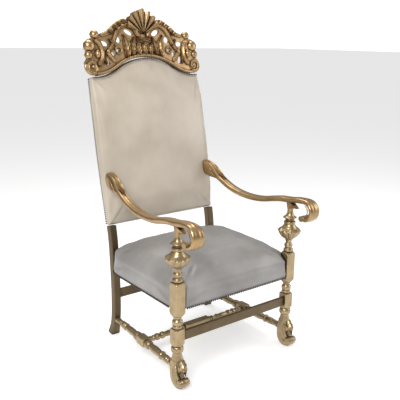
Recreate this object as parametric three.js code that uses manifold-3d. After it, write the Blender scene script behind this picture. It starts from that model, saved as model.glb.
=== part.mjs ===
// Carved and gilded throne: an upholstered armchair with turned and blocked front legs, scrolled
// arms and a pierced, shell-crowned crest. Millimetres, +Z up, and the sitter faces -Y.
import * as THREE from 'three';
import { mergeVertices } from 'three/addons/utils/BufferGeometryUtils.js';
import Module from 'manifold-3d';

const wasm = await Module();
wasm.setup();

// ---- driving dimensions -------------------------------------------------------------------
// Working frame: X = 0 is the middle, Y = 0 the front legs' axes, Z = 0 the floor.
const GAP = 0.3; // clearance kept between pieces that touch
const LEG_SPACING = 575; // between the front legs' axes
const UPRIGHT_SPACING = 532; // between the back legs' axes

const LOW_BLOCK = { side: 42, low: 173, high: 243, neck: 17.5, shoulder: 13 };
const SEAT_BLOCK = { side: 45, low: 293, high: 431, neck: 16.5, shoulder: 24 };
const ARRIS = 2.6; // flat left along the corners of the square blocks
const NECK_TOP = 612; // the front legs end here, under the arms
const NECK_RADIUS = 12.4;
const VASE = { low: 486, high: 553, hollow: 0.09 };

const HEEL = 31; // flat back of a front foot, where the side stretcher meets it
const TOE = { y: -42, z: 31, radius: 19, half: 22 };

const BACK_LEG_SIDE = 33;
const BACK_LEG_FOOT = 39;
const BACK_LEG_TENON = 26; // the leg's side where the upholstery hides it
const LEAN = Math.atan(0.205); // of the back, from upright

const BACK = { y: 525.5, z: 508 }; // middle of the back panel's lower edge
const PANEL = { half: 290, waist: 4, depth: 18, crown: 17, shoulder: 640 };
const TOP_STEPS = 8; // straight steps that make up each half of the camel back
const UPRIGHT_END = 606; // the uprights reach this far up inside the panel
const CAMEL = { half: 256, rise: 78, crownRadius: 270 };

const SEAT = { half: 309, front: -24, back: 492, low: 318, edge: 398, crown: 76, corner: 68 };
const SEAT_TONGUE = { half: 240, back: 512 }; // the seat runs on back between the back legs
const FRONT_RAIL = { front: -12, back: 1, low: 190, high: 229 };
const BACK_RAIL = { front: 489, back: 501, low: 180, high: 221 };

const STRETCHER_Z = 77;
const STRETCHER_BLOCK = { middle: 260, half: 31, side: 37, neck: 12 };
const CROSS_BLOCK = { half: 68, side: 34, neck: 12 };
const CROSS_SHIFT = 3; // the cross stretcher lies this much lower and further forward than the blocks

const ARM = { half: 21, thick: 12, scrollHalf: 27, scrollThick: 11, capHalf: 22, capThick: 33 };
const SCROLL = { x: 292, y: -88, z: 628, radius: 37 };

const SHELL = { hub: 176, reach: 111, ribs: 7, spread: THREE.MathUtils.degToRad(19.5) };
const VOLUTE = { x: 265, z: 39, radius: 38 };
const CREST = { front: -19, back: 14, groundFront: -7, groundBack: 9 };
// The crest's piercings on one side: middle [x, z], half sizes and tilt in degrees.
const PIERCINGS = [[195, 137, 19, 11, 12], [127, 155, 16, 14, 35], [133, 108, 9, 8, 0], [158, 91, 10, 12, -25],
  [191, 64, 12, 19, -25], [70, 186, 24, 11, 25]];

// ---- colours ------------------------------------------------------------------------------
const GILT = { color: 0xb08a4e, roughness: 0.38, metalness: 0.75 };
const DARK_GILT = { color: 0x7c6544, roughness: 0.48, metalness: 0.6 };
const BACK_LEATHER = { color: 0xb8a896, roughness: 0.5, metalness: 0 };
const SEAT_LEATHER = { color: 0x96928e, roughness: 0.5, metalness: 0 };

// ---- joining and cutting ------------------------------------------------------------------
/** A closed three.js geometry as a solid that can be joined and cut. */
function toSolid(geometry) {
  const bare = geometry.clone();
  bare.deleteAttribute('normal');
  bare.deleteAttribute('uv');
  const welded = mergeVertices(bare, 1e-3);
  const corners = welded.index.array;
  const kept = [];
  for (let i = 0; i < corners.length; i += 3) {
    const [a, b, c] = [corners[i], corners[i + 1], corners[i + 2]];
    if (a !== b && b !== c && c !== a) kept.push(a, b, c);
  }
  const vertProperties = new Float32Array(welded.attributes.position.array);
  return new wasm.Manifold(new wasm.Mesh({ numProp: 3, vertProperties, triVerts: new Uint32Array(kept) }));
}

function toGeometry(solid) {
  const { vertProperties, triVerts } = solid.getMesh();
  const geometry = new THREE.BufferGeometry();
  geometry.setAttribute('position', new THREE.BufferAttribute(vertProperties, 3));
  geometry.setIndex(new THREE.BufferAttribute(triVerts, 1));
  return geometry;
}

const join = (...shapes) => toGeometry(shapes.map(toSolid).reduce((all, next) => all.add(next)));
const cut = (shape, ...tools) =>
  toGeometry(tools.map(toSolid).reduce((rest, tool) => rest.subtract(tool), toSolid(shape)));
const common = (shape, other) => toGeometry(toSolid(shape).intersect(toSolid(other)));

/** The same shape on the other side of X = 0, its faces turned to point out again. */
function mirrored(geometry) {
  const copy = geometry.clone().scale(-1, 1, 1);
  const corners = copy.index.array;
  for (let i = 0; i < corners.length; i += 3) {
    [corners[i], corners[i + 1]] = [corners[i + 1], corners[i]];
  }
  return copy;
}

// ---- basic forms --------------------------------------------------------------------------
/** A box between two corners. */
function block(low, high) {
  const size = high.map((value, axis) => value - low[axis]);
  const middle = high.map((value, axis) => (value + low[axis]) / 2);
  return new THREE.BoxGeometry(...size).translate(...middle);
}

/** An ellipsoid, for beads, buds and balls. */
function bud(x, y, z, rx, ry = rx, rz = rx, sides = 7) {
  const rows = Math.max(4, Math.round(sides * 0.6));
  return new THREE.SphereGeometry(1, sides, rows).rotateX(Math.PI / 2).scale(rx, ry, rz).translate(x, y, z);
}

/** Corners of a round section, as [across, up] on a unit circle. */
function roundSection(sides) {
  return Array.from({ length: sides }, (_, k) => {
    const angle = (2 * Math.PI * k) / sides;
    return [Math.sin(angle), Math.cos(angle)];
  });
}

/** Corners of a square section with its corners cut off, half a side long each way. */
function squareSection(cornerCut) {
  const c = 1 - cornerCut;
  return [[c, 1], [1, c], [1, -c], [c, -1], [-c, -1], [-1, -c], [-1, c], [-c, 1]];
}

/**
 * A bar bent along a curve. size(t) gives its half width along `across` and its half thickness,
 * and a size of nothing at an end brings the bar to a point there.
 */
function bar(curve, across, section, size, steps) {
  const geometry = new THREE.CylinderGeometry(1, 1, 1, section.length, steps);
  const position = geometry.attributes.position;
  for (let i = 0; i < position.count; i++) {
    const [x, y, z] = [position.getX(i), position.getY(i), position.getZ(i)];
    const t = THREE.MathUtils.clamp(y + 0.5, 0, 1);
    const tangent = curve.getTangent(t);
    const up = new THREE.Vector3().crossVectors(across, tangent).normalize();
    const side = new THREE.Vector3().crossVectors(tangent, up);
    const turn = Math.round((Math.atan2(x, z) / (2 * Math.PI)) * section.length);
    const onAxis = Math.hypot(x, z) < 0.5;
    const [a, n] = onAxis ? [0, 0] : section[(turn + section.length) % section.length];
    const [width, thickness] = size(t);
    const point = curve.getPoint(t).addScaledVector(side, a * width).addScaledVector(up, n * thickness);
    position.setXYZ(i, point.x, point.y, point.z);
  }
  return geometry;
}

const X_AXIS = new THREE.Vector3(1, 0, 0);
const FORWARD = new THREE.Vector3(0, -1, 0);
const through = (points) => new THREE.CatmullRomCurve3(points.map((p) => new THREE.Vector3(...p)));

/** Swells from `ends` to `middle` and back as t goes from 0 to 1. */
const swell = (t, ends, middle) => ends + (middle - ends) * Math.sin(Math.PI * t);
/** Goes smoothly from 0 to 1 as t goes from a to b. */
const ease = (t, a, b) => THREE.MathUtils.smoothstep(t, a, b);

// ---- turning ------------------------------------------------------------------------------
// How each moulding departs from its neck, as [share of its length, share of its projection].
const MOULDINGS = {
  bead: [[0, 0], [0.24, 1], [0.76, 1]],
  drop: [[0, 0], [0.5, 1]],
  ball: [[0, 0], [0.2, 0.75], [0.5, 1], [0.8, 0.75]],
  cone: [[0, 0], [1, 1]],
  spindle: [[0, 0], [0.3, 0.85], [0.7, 0.85]],
  end: [[0, 0]],
};

/** Rows of a turning from mouldings given as [kind, low, high, neck radius, full radius]. */
function turnedRows(mouldings) {
  return mouldings.flatMap(([kind, low, high, neck, full]) => MOULDINGS[kind].map(([t, share]) => {
    return { z: low + (high - low) * t, radius: neck + (full - neck) * share, square: 0, half: 0 };
  }));
}

/** Rows of a square block whose two ends are turned down to round necks. */
function blockRows({ side, low, high, neck, shoulder }) {
  const row = (z, radius, square) => ({ z, radius, square, half: side / 2 });
  const upper = shoulder * 0.6;
  return [row(low, neck, 0), row(low + shoulder * 0.35, side / 2, 0.55), row(low + shoulder, side / 2, 1),
    row(high - upper, side / 2, 1), row(high - upper * 0.35, side / 2, 0.55), row(high, neck, 0)];
}

/** Takes a coordinate of the unit circle to the outline of a square with small cut arrises. */
function squared(value, half) {
  const size = Math.abs(value);
  if (size < 0.25) return 0;
  return Math.sign(value) * (size > 0.75 ? half : half - ARRIS);
}

/** A turned column standing on the Z axis: its rows may be round, square or between the two. */
function column(rows, sides, scale = () => 1) {
  const geometry = new THREE.CylinderGeometry(1, 1, 1, sides, rows.length - 1);
  const position = geometry.attributes.position;
  const phase = sides === 8 ? Math.PI / 8 : 0;
  for (let i = 0; i < position.count; i++) {
    const [x, y, z] = [position.getX(i), position.getY(i), position.getZ(i)];
    const index = Math.round((y + 0.5) * (rows.length - 1));
    const row = rows[index];
    const turn = Math.round((Math.atan2(x, z) / (2 * Math.PI)) * sides);
    const angle = (turn / sides) * 2 * Math.PI + phase;
    const reach = Math.hypot(x, z) < 0.5 ? 0 : 1;
    const radius = row.radius * scale(turn, row.z);
    const [c, s] = [Math.cos(angle), Math.sin(angle)];
    const px = radius * c * (1 - row.square) + squared(c, row.half) * row.square;
    const py = radius * s * (1 - row.square) + squared(s, row.half) * row.square;
    position.setXYZ(i, px * reach, py * reach, row.z);
  }
  return geometry;
}

// ---- front legs ---------------------------------------------------------------------------
const LEG_SIDES = 12;

/** Every second corner of the vase's widest part is hollowed, which leaves upright leaves between. */
function carving(turn, z) {
  const carved = ease(z, 488, 505) * (1 - ease(z, 530, VASE.high));
  return 1 - VASE.hollow * carved * Math.abs(turn % 2);
}

/** A leaf lying on the foot: a pointed bar, flat against what it lies on. */
function leaf(points, width, thickness) {
  const size = (t) => [swell(t, 0.45, 1) * width * (1 - ease(t, 0.7, 1) * 0.75), thickness];
  return bar(through(points), X_AXIS, roundSection(4), size, 2);
}

/** The scrolled foot: a body that curls forward into a rolled toe, under hanging leaves. */
function scrollFoot() {
  const spine = through([[0, 0, 112], [0, 2, 86], [0, 5, 56], [0, 1, 29], [0, -20, 18], [0, -38, 26]]);
  const girth = (t) => [24 - 3 * ease(t, 0, 0.5), 25 + 7 * ease(t, 0, 0.3) - 15 * ease(t, 0.5, 1)];
  const body = bar(spine, X_AXIS, roundSection(8), girth, 6);
  const roll = through([-1, 0, 1].map((side) => [side * TOE.half, TOE.y, TOE.z]));
  const toe = bar(roll, FORWARD, roundSection(8), (t) => Array(2).fill(TOE.radius * swell(t, 0.65, 1)), 3);
  const front = leaf([[0, -18, 112], [0, -29, 101], [0, -41, 91], [0, -48, 81]], 14, 7);
  const cheeks = [-1, 1].map((side) => {
    return leaf([[side * 16, -8, 112], [side * 20, -14, 88], [side * 20, -20, 62], [side * 18, -30, 46]], 12, 6);
  });
  const heelCut = block([-60, HEEL, 0], [60, 80, 112]);
  const underFloor = block([-60, -90, -40], [60, 60, 0]);
  return cut(join(body, toe, front, ...cheeks), heelCut, underFloor);
}

function frontLeg() {
  const lower = [
    ['cone', 100, 134, 25.5, 18.5], ['end', 139, 139, 17.2, 17.2], ['ball', 144, 171, 18, 24.5],
  ];
  const middle = [
    ['bead', 244, 256, 16.5, 19], ['bead', 257, 278, 16.5, 20.3], ['end', 282, 282, 14, 14], ['end', 289, 289, 17.5, 17.5],
  ];
  const upper = [
    ['bead', 432, 444, 16.5, 20.5], ['end', 447, 447, 15, 15], ['bead', 451, 466, 14.5, 17.8],
    ['cone', 473, VASE.low, 12, 17],
  ];
  const bulb = [[491, 23], [500, 33], [513, 42], [525, 47], [535, 36.5], [546, 26]];
  const collar = [
    ['bead', VASE.high, 565, 22, 24.8], ['end', 567, 567, 17.5, 17.5], ['end', 581, 581, 28.8, 28.8],
    ['end', 597, 597, 14.5, 14.5], ['cone', 603, NECK_TOP, NECK_RADIUS, NECK_RADIUS],
  ];
  const vase = bulb.map(([z, radius]) => ({ z, radius, square: 0, half: 0 }));
  const rows = [...turnedRows(lower), ...blockRows(LOW_BLOCK), ...turnedRows(middle), ...blockRows(SEAT_BLOCK),
    ...turnedRows(upper), ...vase, ...turnedRows(collar)];
  return join(scrollFoot(), column(rows, LEG_SIDES, carving));
}

// ---- back legs ----------------------------------------------------------------------------
/** A back leg with its upright, grown all round by `grow` where it serves as a cutter. */
function backLeg(grow = 0) {
  const x = UPRIGHT_SPACING / 2;
  const alongBack = (v) => [x, BACK.y + v * Math.sin(LEAN), BACK.z + v * Math.cos(LEAN)];
  const foot = [[526, 0], [512, 42], [502, 96], [498.5, 170], [500, 250], [505, 340], [511, 420]];
  const legCurve = through([...foot.map(([y, z]) => [x, y, z]), alongBack(-40), alongBack(-20), alongBack(-GAP)]);
  const half = BACK_LEG_SIDE / 2;
  const size = (t) => {
    const girth = half + (BACK_LEG_FOOT / 2 - half) * (1 - ease(t, 0, 0.16)) + grow;
    return [girth, girth];
  };
  const leg = bar(legCurve, X_AXIS, squareSection(0.16), size, 9);
  const tenon = BACK_LEG_TENON / 2 + grow;
  const upright = bar(through([alongBack(-6), alongBack(UPRIGHT_END + grow)]), X_AXIS,
    squareSection(0.16), () => [tenon, tenon], 1);
  return cut(join(leg, upright), block([x - 60, 440, -40], [x + 60, 620, 0]));
}

// ---- rails and stretchers -----------------------------------------------------------------
function rail({ front, back, low, high }, halfLength) {
  return block([-halfLength, front, low], [halfLength, back, high]);
}

const STRETCHER_SIDES = 8;

/** Side stretcher, in its own frame: it starts at the front leg's axis and runs back along +Y. */
function sideStretcher() {
  const { middle, half, side, neck } = STRETCHER_BLOCK;
  const before = [
    ['cone', HEEL - 2, 53, 15.5, 11.5], ['drop', 53, 63, 11, 14], ['bead', 64, 98, 10.5, 15],
    ['drop', 100, 119, 10.5, 17.5], ['spindle', 120, 199, 10.5, 16], ['bead', 200, middle - half, 11, 19],
  ];
  const behind = [
    ['bead', middle + half + 1, 321, 11, 19], ['spindle', 321, 396, 10.5, 15.5], ['drop', 396, 411, 10.5, 16.5],
    ['bead', 412, 437, 10.5, 15], ['drop', 439, 447, 10.5, 13.5], ['cone', 448, 500, 11, 14],
  ];
  const square = blockRows({ side, low: middle - half, high: middle + half, neck, shoulder: half * 0.34 });
  return column([...turnedRows(before), ...square, ...turnedRows(behind)], STRETCHER_SIDES).rotateX(-Math.PI / 2);
}

/** Cross stretcher, in its own frame: it lies along +Y with its middle at the origin. */
function crossStretcher(reach) {
  const { half, side, neck } = CROSS_BLOCK;
  const mouldings = [
    ['drop', half + 1, 80, 11, 14.5], ['drop', 80, 93, 10, 14], ['end', 100, 100, 9.5, 9.5], ['drop', 108, 121, 10.5, 14.5],
    ['spindle', 121, 172, 9.5, 12.5], ['bead', 173, 193, 10, 15], ['bead', 200, 219, 10, 15], ['drop', 223, 234, 10, 12.5],
    ['cone', 236, reach, 11, 13.5],
  ];
  const near = turnedRows(mouldings);
  const far = near.map((row) => ({ ...row, z: -row.z })).reverse();
  const square = blockRows({ side, low: -half, high: half, neck, shoulder: half * 0.16 });
  return column([...far, ...square, ...near], STRETCHER_SIDES).rotateX(-Math.PI / 2);
}

// ---- arms ---------------------------------------------------------------------------------
/** Section of an arm: a crowned top, a quirk along each side and a narrower belly. */
const ARM_SECTION = [[0, 1.1], [0.74, 0.94], [1, 0.4], [0.82, 0], [0.55, -1], [-0.55, -1], [-0.82, 0], [-1, 0.4], [-0.74, 0.94]];

/** The line that the middle of an arm follows, from the back panel to the tip of its scroll. */
function armLine() {
  const swoop = [[258, 545, 707], [261, 505, 698], [265, 455, 680], [268, 405, 656], [270, 355, 637], [273, 300, 625],
    [275, 250, 621], [277, 200, 622], [280, 150, 628], [283, 100, 640], [286.5, 50, 650], [289, 0, 655], [290, -45, 663]];
  const turns = 7;
  const scroll = Array.from({ length: turns + 1 }, (_, k) => {
    const angle = Math.PI / 2 + (Math.PI * 1.08 * k) / turns;
    const radius = SCROLL.radius - 4 * (k / turns) ** 2;
    return [SCROLL.x, SCROLL.y + radius * Math.cos(angle), SCROLL.z + radius * Math.sin(angle)];
  });
  return through([...swoop, ...scroll]);
}

/** The curved web that carries an arm on the neck of its leg. */
function armBracket() {
  const [x, r] = [LEG_SPACING / 2, NECK_RADIUS];
  const foot = NECK_TOP + GAP;
  const web = new THREE.Shape();
  web.moveTo(-r, foot).lineTo(r, foot).quadraticCurveTo(r + 2, 634, r + 16, 648).lineTo(-46, 656);
  web.quadraticCurveTo(-18, 644, -r, foot);
  return new THREE.ExtrudeGeometry(web, { depth: 2 * r, bevelEnabled: false, curveSegments: 3 })
    .rotateY(Math.PI / 2).rotateX(Math.PI / 2).translate(x - r, 0, 0);
}

function arm(panelCutter) {
  const line = armLine();
  const size = (t) => {
    const broad = ease(t, 0.55, 0.78);
    const cap = 1 - ease(t, 0.05, 0.13);
    return [ARM.half + (ARM.scrollHalf - ARM.half) * broad + (ARM.capHalf - ARM.half) * cap,
      ARM.thick + (ARM.scrollThick - ARM.thick) * broad + (ARM.capThick - ARM.thick) * cap];
  };
  const bent = bar(line, X_AXIS, ARM_SECTION, size, 22);
  const tip = line.getPoint(1);
  const lip = through([-1, 1].map((side) => [tip.x + side * ARM.scrollHalf, tip.y, tip.z]));
  const nose = bar(lip, FORWARD, roundSection(8), () => [ARM.scrollThick + 1, ARM.scrollThick + 1], 1);
  return cut(join(bent, nose, armBracket()), panelCutter);
}

// ---- back panel and seat ------------------------------------------------------------------
/** Height of the camel-backed top above its low ends: a crown arc that runs into two hollow arcs. */
function camelBack(u) {
  const { half, rise, crownRadius } = CAMEL;
  const total = (half ** 2 + rise ** 2) / (2 * rise);
  const hollowRadius = total - crownRadius;
  const turning = (crownRadius * half) / total;
  const x = Math.abs(u);
  if (x <= turning) return rise - crownRadius + Math.sqrt(crownRadius ** 2 - x ** 2);
  if (x >= half) return 0;
  return hollowRadius - Math.sqrt(hollowRadius ** 2 - (half - x) ** 2);
}

/** Moves the corners of a finely divided box, given as numbers from -1 to 1, by a rule. */
function shapedBox(divisions, rule) {
  const geometry = new THREE.BoxGeometry(2, 2, 2, ...divisions);
  const position = geometry.attributes.position;
  for (let i = 0; i < position.count; i++) {
    position.setXYZ(i, ...rule(position.getX(i), position.getY(i), position.getZ(i)));
  }
  return geometry;
}

/** Draws even divisions from -1 to 1 closer together near the two ends. */
const crowded = (value) => Math.sin((Math.PI / 2) * value);

/** Fullness of a pad: none at its edges, rising steeply to a broad middle. */
const fullness = (a, b) => Math.sqrt(Math.max(0, (1 - Math.abs(a) ** 3.2) * (1 - Math.abs(b) ** 3.2)));

/** The padded back, standing upright in its own frame, grown by `grow` where it cuts the arms. */
function backPanel(grow = 0) {
  return shapedBox([2 * TOP_STEPS, 1, 4], (a, b, evenC) => {
    const c = crowded(evenC);
    const half = PANEL.half - PANEL.waist * c ** 2 + grow;
    const u = a * half;
    const top = PANEL.shoulder + camelBack(u) + grow;
    const v = -grow + ((c + 1) / 2) * (top + grow);
    const depth = PANEL.depth + grow;
    return [u, b < 0 ? -depth + 6 - (PANEL.crown + 6) * fullness(0.8 * a, c) : depth, v];
  });
}

function uprightPocket() {
  const half = BACK_LEG_TENON / 2 + GAP;
  const x = UPRIGHT_SPACING / 2;
  return block([x - half, -half, -30], [x + half, half, UPRIGHT_END + GAP]);
}

/** The stuffed seat: a crowned slab with rounded back corners, notched round the four legs. */
function seat(frontLegs, backLegs) {
  const { half, front, back, low, edge, crown, corner } = SEAT;
  const slab = shapedBox([9, 6, 1], (evenA, evenB, c) => {
    const [a, b] = [crowded(evenA), crowded(evenB)];
    const y = front + ((b + 1) / 2) * (SEAT_TONGUE.back - front);
    return [a * half, y, c < 0 ? low : edge + crown * fullness(a, b)];
  });
  const plan = new THREE.Shape();
  plan.moveTo(-half, front).lineTo(half, front).lineTo(half, back - corner);
  plan.absarc(half - corner, back - corner, corner, 0, Math.PI / 2, false);
  plan.lineTo(SEAT_TONGUE.half, SEAT_TONGUE.back).lineTo(-SEAT_TONGUE.half, SEAT_TONGUE.back);
  plan.lineTo(-half + corner, back);
  plan.absarc(-half + corner, back - corner, corner, Math.PI / 2, Math.PI, false);
  const prism = new THREE.ExtrudeGeometry(plan, { depth: 300, bevelEnabled: false, curveSegments: 4 });
  return cut(common(slab, prism.translate(0, 0, low - 50)), ...frontLegs, ...backLegs);
}

// ---- crest --------------------------------------------------------------------------------
// The crest has its own frame: X across, Z up from the low ends of the camel back, and -Y forward.

/** Section of carving in relief, as [forward, across]: two chamfers and a flat between them. */
const RELIEF = [[0, 1], [1, 0.5], [1, -0.5], [0, -1], [-0.4, 0]];

/** A carved band through points [x, z], its half width going from start to end. */
function band(points, start, end, depth, steps = 5) {
  const size = (t) => [depth * (1 - 0.2 * t), start + (end - start) * t];
  return bar(through(points.map(([x, z]) => [x, -4, z])), FORWARD, RELIEF, size, steps);
}

/** A carved leaf: a ridged band that swells in its middle and runs out to a blunt point. */
function crestLeaf(points, width, depth) {
  const size = (t) => [depth * (1 - 0.4 * t), width * (swell(t, 0.5, 1) - 0.4 * ease(t, 0.7, 1))];
  return bar(through(points.map(([x, z]) => [x, -4, z])), FORWARD, [[0, 1], [1, 0], [0, -1], [-0.4, 0]], size, 3);
}

/** A spiral of `turns` turns that winds from `outer` to `inner` radius, starting at an angle. */
function spiral({ x, z }, outer, inner, startAngle, turns) {
  const count = Math.round(turns * 6);
  return Array.from({ length: count + 1 }, (_, k) => {
    const t = k / count;
    const angle = startAngle + 2 * Math.PI * turns * t;
    const radius = outer + (inner - outer) * t;
    return [x + radius * Math.cos(angle), z + radius * Math.sin(angle)];
  });
}

/** The moulded rail that beds the crest on the upholstery, following the camel back. */
function crestRail() {
  const steps = TOP_STEPS - 1;
  const reach = ((PANEL.half - PANEL.waist) * steps) / TOP_STEPS;
  return shapedBox([2 * steps, 1, 1], (a, b, c) => {
    const u = a * reach;
    return [u, b < 0 ? CREST.front : CREST.back, camelBack(u) + (c < 0 ? GAP : 15 - 2 * Math.abs(a))];
  });
}

/** The scallop shell: fluted ribs that fan out from a hub and curl forward at their rounded tips. */
function shell() {
  const across = 3; // divisions of a rib: a hollow, then the two edges of its crown
  const half = (SHELL.ribs * SHELL.spread) / 2;
  const root = 8;
  return shapedBox([SHELL.ribs * across, 1, 2], (a, b, c) => {
    const place = Math.round(((a + 1) / 2) * SHELL.ribs * across);
    const inHollow = place % across === 0;
    const angle = a * half;
    const out = (c + 1) / 2;
    const tip = SHELL.reach - 3 * Math.abs(a) * SHELL.ribs - (inHollow ? 11 : 0);
    const radius = root + (tip - root) * out;
    const crown = inHollow ? 3 + 4 * out : 11 + 9 * out;
    const y = b < 0 ? -7 - crown : CREST.groundBack + (inHollow ? 0 : 4 * out);
    return [radius * Math.sin(angle), y - 6 * out ** 2, SHELL.hub + radius * Math.cos(angle)];
  });
}

const CENTRE = new THREE.Vector2(0, 0);

/** The pierced ground that the crest is carved on, seen from the front. */
function crestGround() {
  const edge = [[70, 240], [96, 244], [104, 234], [122, 232], [128, 220], [144, 216], [152, 204], [182, 190],
    [207, 181], [226, 164], [246, 164], [270, 156], [289, 141], [292, 122], [283, 106], [291, 90], [283, 76], [299, 56]];
  const shape = new THREE.Shape();
  const rail = [-250, -190, -130, -66, 0, 66, 130, 190, 250].map((u) => [u, camelBack(u) + 8]);
  const outline = [...rail, ...edge.slice().reverse(), ...edge.map(([x, z]) => [-x, z])];
  outline.forEach(([x, z], k) => (k === 0 ? shape.moveTo(x, z) : shape.lineTo(x, z)));
  for (const [x, z, rx, rz, tilt] of PIERCINGS) {
    for (const side of [-1, 1]) {
      const turn = THREE.MathUtils.degToRad(side * tilt);
      const ring = roundSection(6).map(([a, n]) => new THREE.Vector2(a * rx, n * rz).rotateAround(CENTRE, turn));
      shape.holes.push(new THREE.Path(ring.map((point) => point.add(new THREE.Vector2(side * x, z)))));
    }
  }
  const depth = CREST.groundBack - CREST.groundFront;
  return new THREE.ExtrudeGeometry(shape, { depth, bevelEnabled: false })
    .rotateX(Math.PI / 2).translate(0, CREST.groundBack, 0);
}

/** Leaves that fan upwards under the shell's hinge. */
function palmette() {
  const leaves = [-1, 0, 1].map((k) => crestLeaf([[k * 28, 84], [k * 31, 114], [k * 38, 146 - 6 * k * k]], 17, 16));
  return [...leaves, band([[-34, 157], [0, 151], [34, 157]], 11, 11, 19, 3)];
}

/** Everything that is carved once on each side of the shell, on the right-hand side. */
function crestSide() {
  const { x, z, radius } = VOLUTE;
  return [
    bud(x, 0, z, radius - 2, 14, radius - 2, 8),
    band(spiral(VOLUTE, radius - 10, 11, -Math.PI * 0.7, 1.2), 10, 8, 16, 7),
    band([[238, 41], [217, 71], [212, 105], [222, 137], [243, 153]], 11, 11, 16, 3),
    bud(235, -9, 93, 12, 13, 19, 6),
    bud(267, -3, 128, 25, 20, 25),
    bud(276, -3, 89, 17, 16, 19, 6),
    bud(237, 0, 175, 19.5, 19.5, 19.5),
    band([[22, 163], [36, 197], [60, 216], [92, 218], [120, 201], [137, 175], [150, 147], [164, 123], [184, 103]], 13, 9, 16, 6),
    band([[80, 236], [108, 229], [136, 213], [162, 193], [184, 179], [212, 170]], 12, 8, 13, 3),
    band([[190, 106], [174, 84], [150, 58]], 11, 9, 14, 2),
    crestLeaf([[90, 78], [86, 126], [102, 176]], 18, 15),
    crestLeaf([[62, 84], [60, 122], [46, 168]], 15, 16),
  ];
}

function crest() {
  const right = join(...crestSide());
  return join(crestGround(), crestRail(), shell(), ...palmette(), right, mirrored(right));
}

// ---- the throne ---------------------------------------------------------------------------
const throne = new THREE.Group();

function place(parent, name, geometry, finish, position = [0, 0, 0]) {
  const mesh = new THREE.Mesh(geometry, new THREE.MeshStandardMaterial(finish));
  mesh.name = name;
  mesh.position.set(...position);
  parent.add(mesh);
  return mesh;
}

/** A geometry moved into the frame of a mesh that already has its place. */
function seenFrom(mesh, geometry) {
  mesh.updateMatrixWorld();
  return geometry.clone().applyMatrix4(mesh.matrixWorld.clone().invert());
}

const legX = LEG_SPACING / 2;
const frontLegShape = frontLeg();
place(throne, 'front_leg_right', frontLegShape, GILT, [legX, 0, 0]);
place(throne, 'front_leg_left', mirrored(frontLegShape), GILT, [-legX, 0, 0]);

const backLegShape = backLeg();
place(throne, 'back_leg_right', backLegShape, DARK_GILT);
place(throne, 'back_leg_left', mirrored(backLegShape), DARK_GILT);

const frontReach = legX - LOW_BLOCK.side / 2 - GAP;
place(throne, 'front_rail', rail(FRONT_RAIL, frontReach), DARK_GILT);
const backReach = (UPRIGHT_SPACING - BACK_LEG_SIDE) / 2 - GAP;
place(throne, 'back_rail', rail(BACK_RAIL, backReach), DARK_GILT);

// The side stretchers draw together a little towards the back, as the legs do.
const stretcherLean = Math.atan2((LEG_SPACING - UPRIGHT_SPACING) / 2, 500);
const grownBackLeg = backLeg(GAP);
for (const [name, side] of [['side_stretcher_right', 1], ['side_stretcher_left', -1]]) {
  const mesh = place(throne, name, sideStretcher(), GILT, [side * legX, 0, STRETCHER_Z]);
  mesh.rotation.z = side * stretcherLean;
  const behind = side > 0 ? grownBackLeg : mirrored(grownBackLeg);
  const ahead = block([side * legX - 40, -40, 0], [side * legX + 40, HEEL + GAP, 160]);
  mesh.geometry = cut(mesh.geometry, seenFrom(mesh, behind), seenFrom(mesh, ahead));
}

const crossY = STRETCHER_BLOCK.middle - CROSS_SHIFT;
const blockX = legX - crossY * Math.tan(stretcherLean);
const crossReach = blockX - STRETCHER_BLOCK.side / 2 - GAP - 1;
const cross = place(throne, 'cross_stretcher', crossStretcher(crossReach), GILT, [0, crossY, STRETCHER_Z - CROSS_SHIFT]);
cross.rotation.z = Math.PI / 2;

const backFrame = new THREE.Group();
backFrame.position.set(0, BACK.y, BACK.z);
backFrame.rotation.x = -LEAN;
throne.add(backFrame);
const pocket = uprightPocket();
const panel = place(backFrame, 'back_panel', cut(backPanel(), pocket, mirrored(pocket)), BACK_LEATHER);
place(backFrame, 'crest', crest(), GILT, [0, 0, PANEL.shoulder]);

throne.updateMatrixWorld(true);
const panelCutter = backPanel(GAP).applyMatrix4(panel.matrixWorld);
const armShape = arm(panelCutter);
place(throne, 'arm_right', armShape, GILT);
place(throne, 'arm_left', mirrored(armShape), GILT);

const notch = SEAT_BLOCK.side / 2 + GAP;
const legNotch = block([legX - notch, -notch, 200], [legX + 60, notch, 600]);
const cornerNotch = block([legX - notch, -60, 200], [legX + 60, notch, 600]);
const seatShape = seat([legNotch, cornerNotch, mirrored(legNotch), mirrored(cornerNotch)],
  [grownBackLeg, mirrored(grownBackLeg)]);
place(throne, 'seat', seatShape, SEAT_LEATHER);

// The origin is the middle of the footprint of the whole throne, on the floor.
const bounds = new THREE.Box3().setFromObject(throne);
throne.position.set(-(bounds.min.x + bounds.max.x) / 2, -(bounds.min.y + bounds.max.y) / 2, -bounds.min.z);

export default throne;
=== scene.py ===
# %% [markdown]
# # A carved and gilded throne
# The real thing is a tall armchair of carved wood, laid with gold leaf over a red-brown clay called bole, with a
# stuffed leather seat and back held by rows of dark nails. This lesson loads the chair's plain solids as a fixed
# frame and then makes each visible piece afresh around them. Sizes are in workshop millimetres, measured from the
# floor and from the line through the two front legs, and one helper turns them into the frame's metres.

# %% Load the frame and set the units
import math

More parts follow.
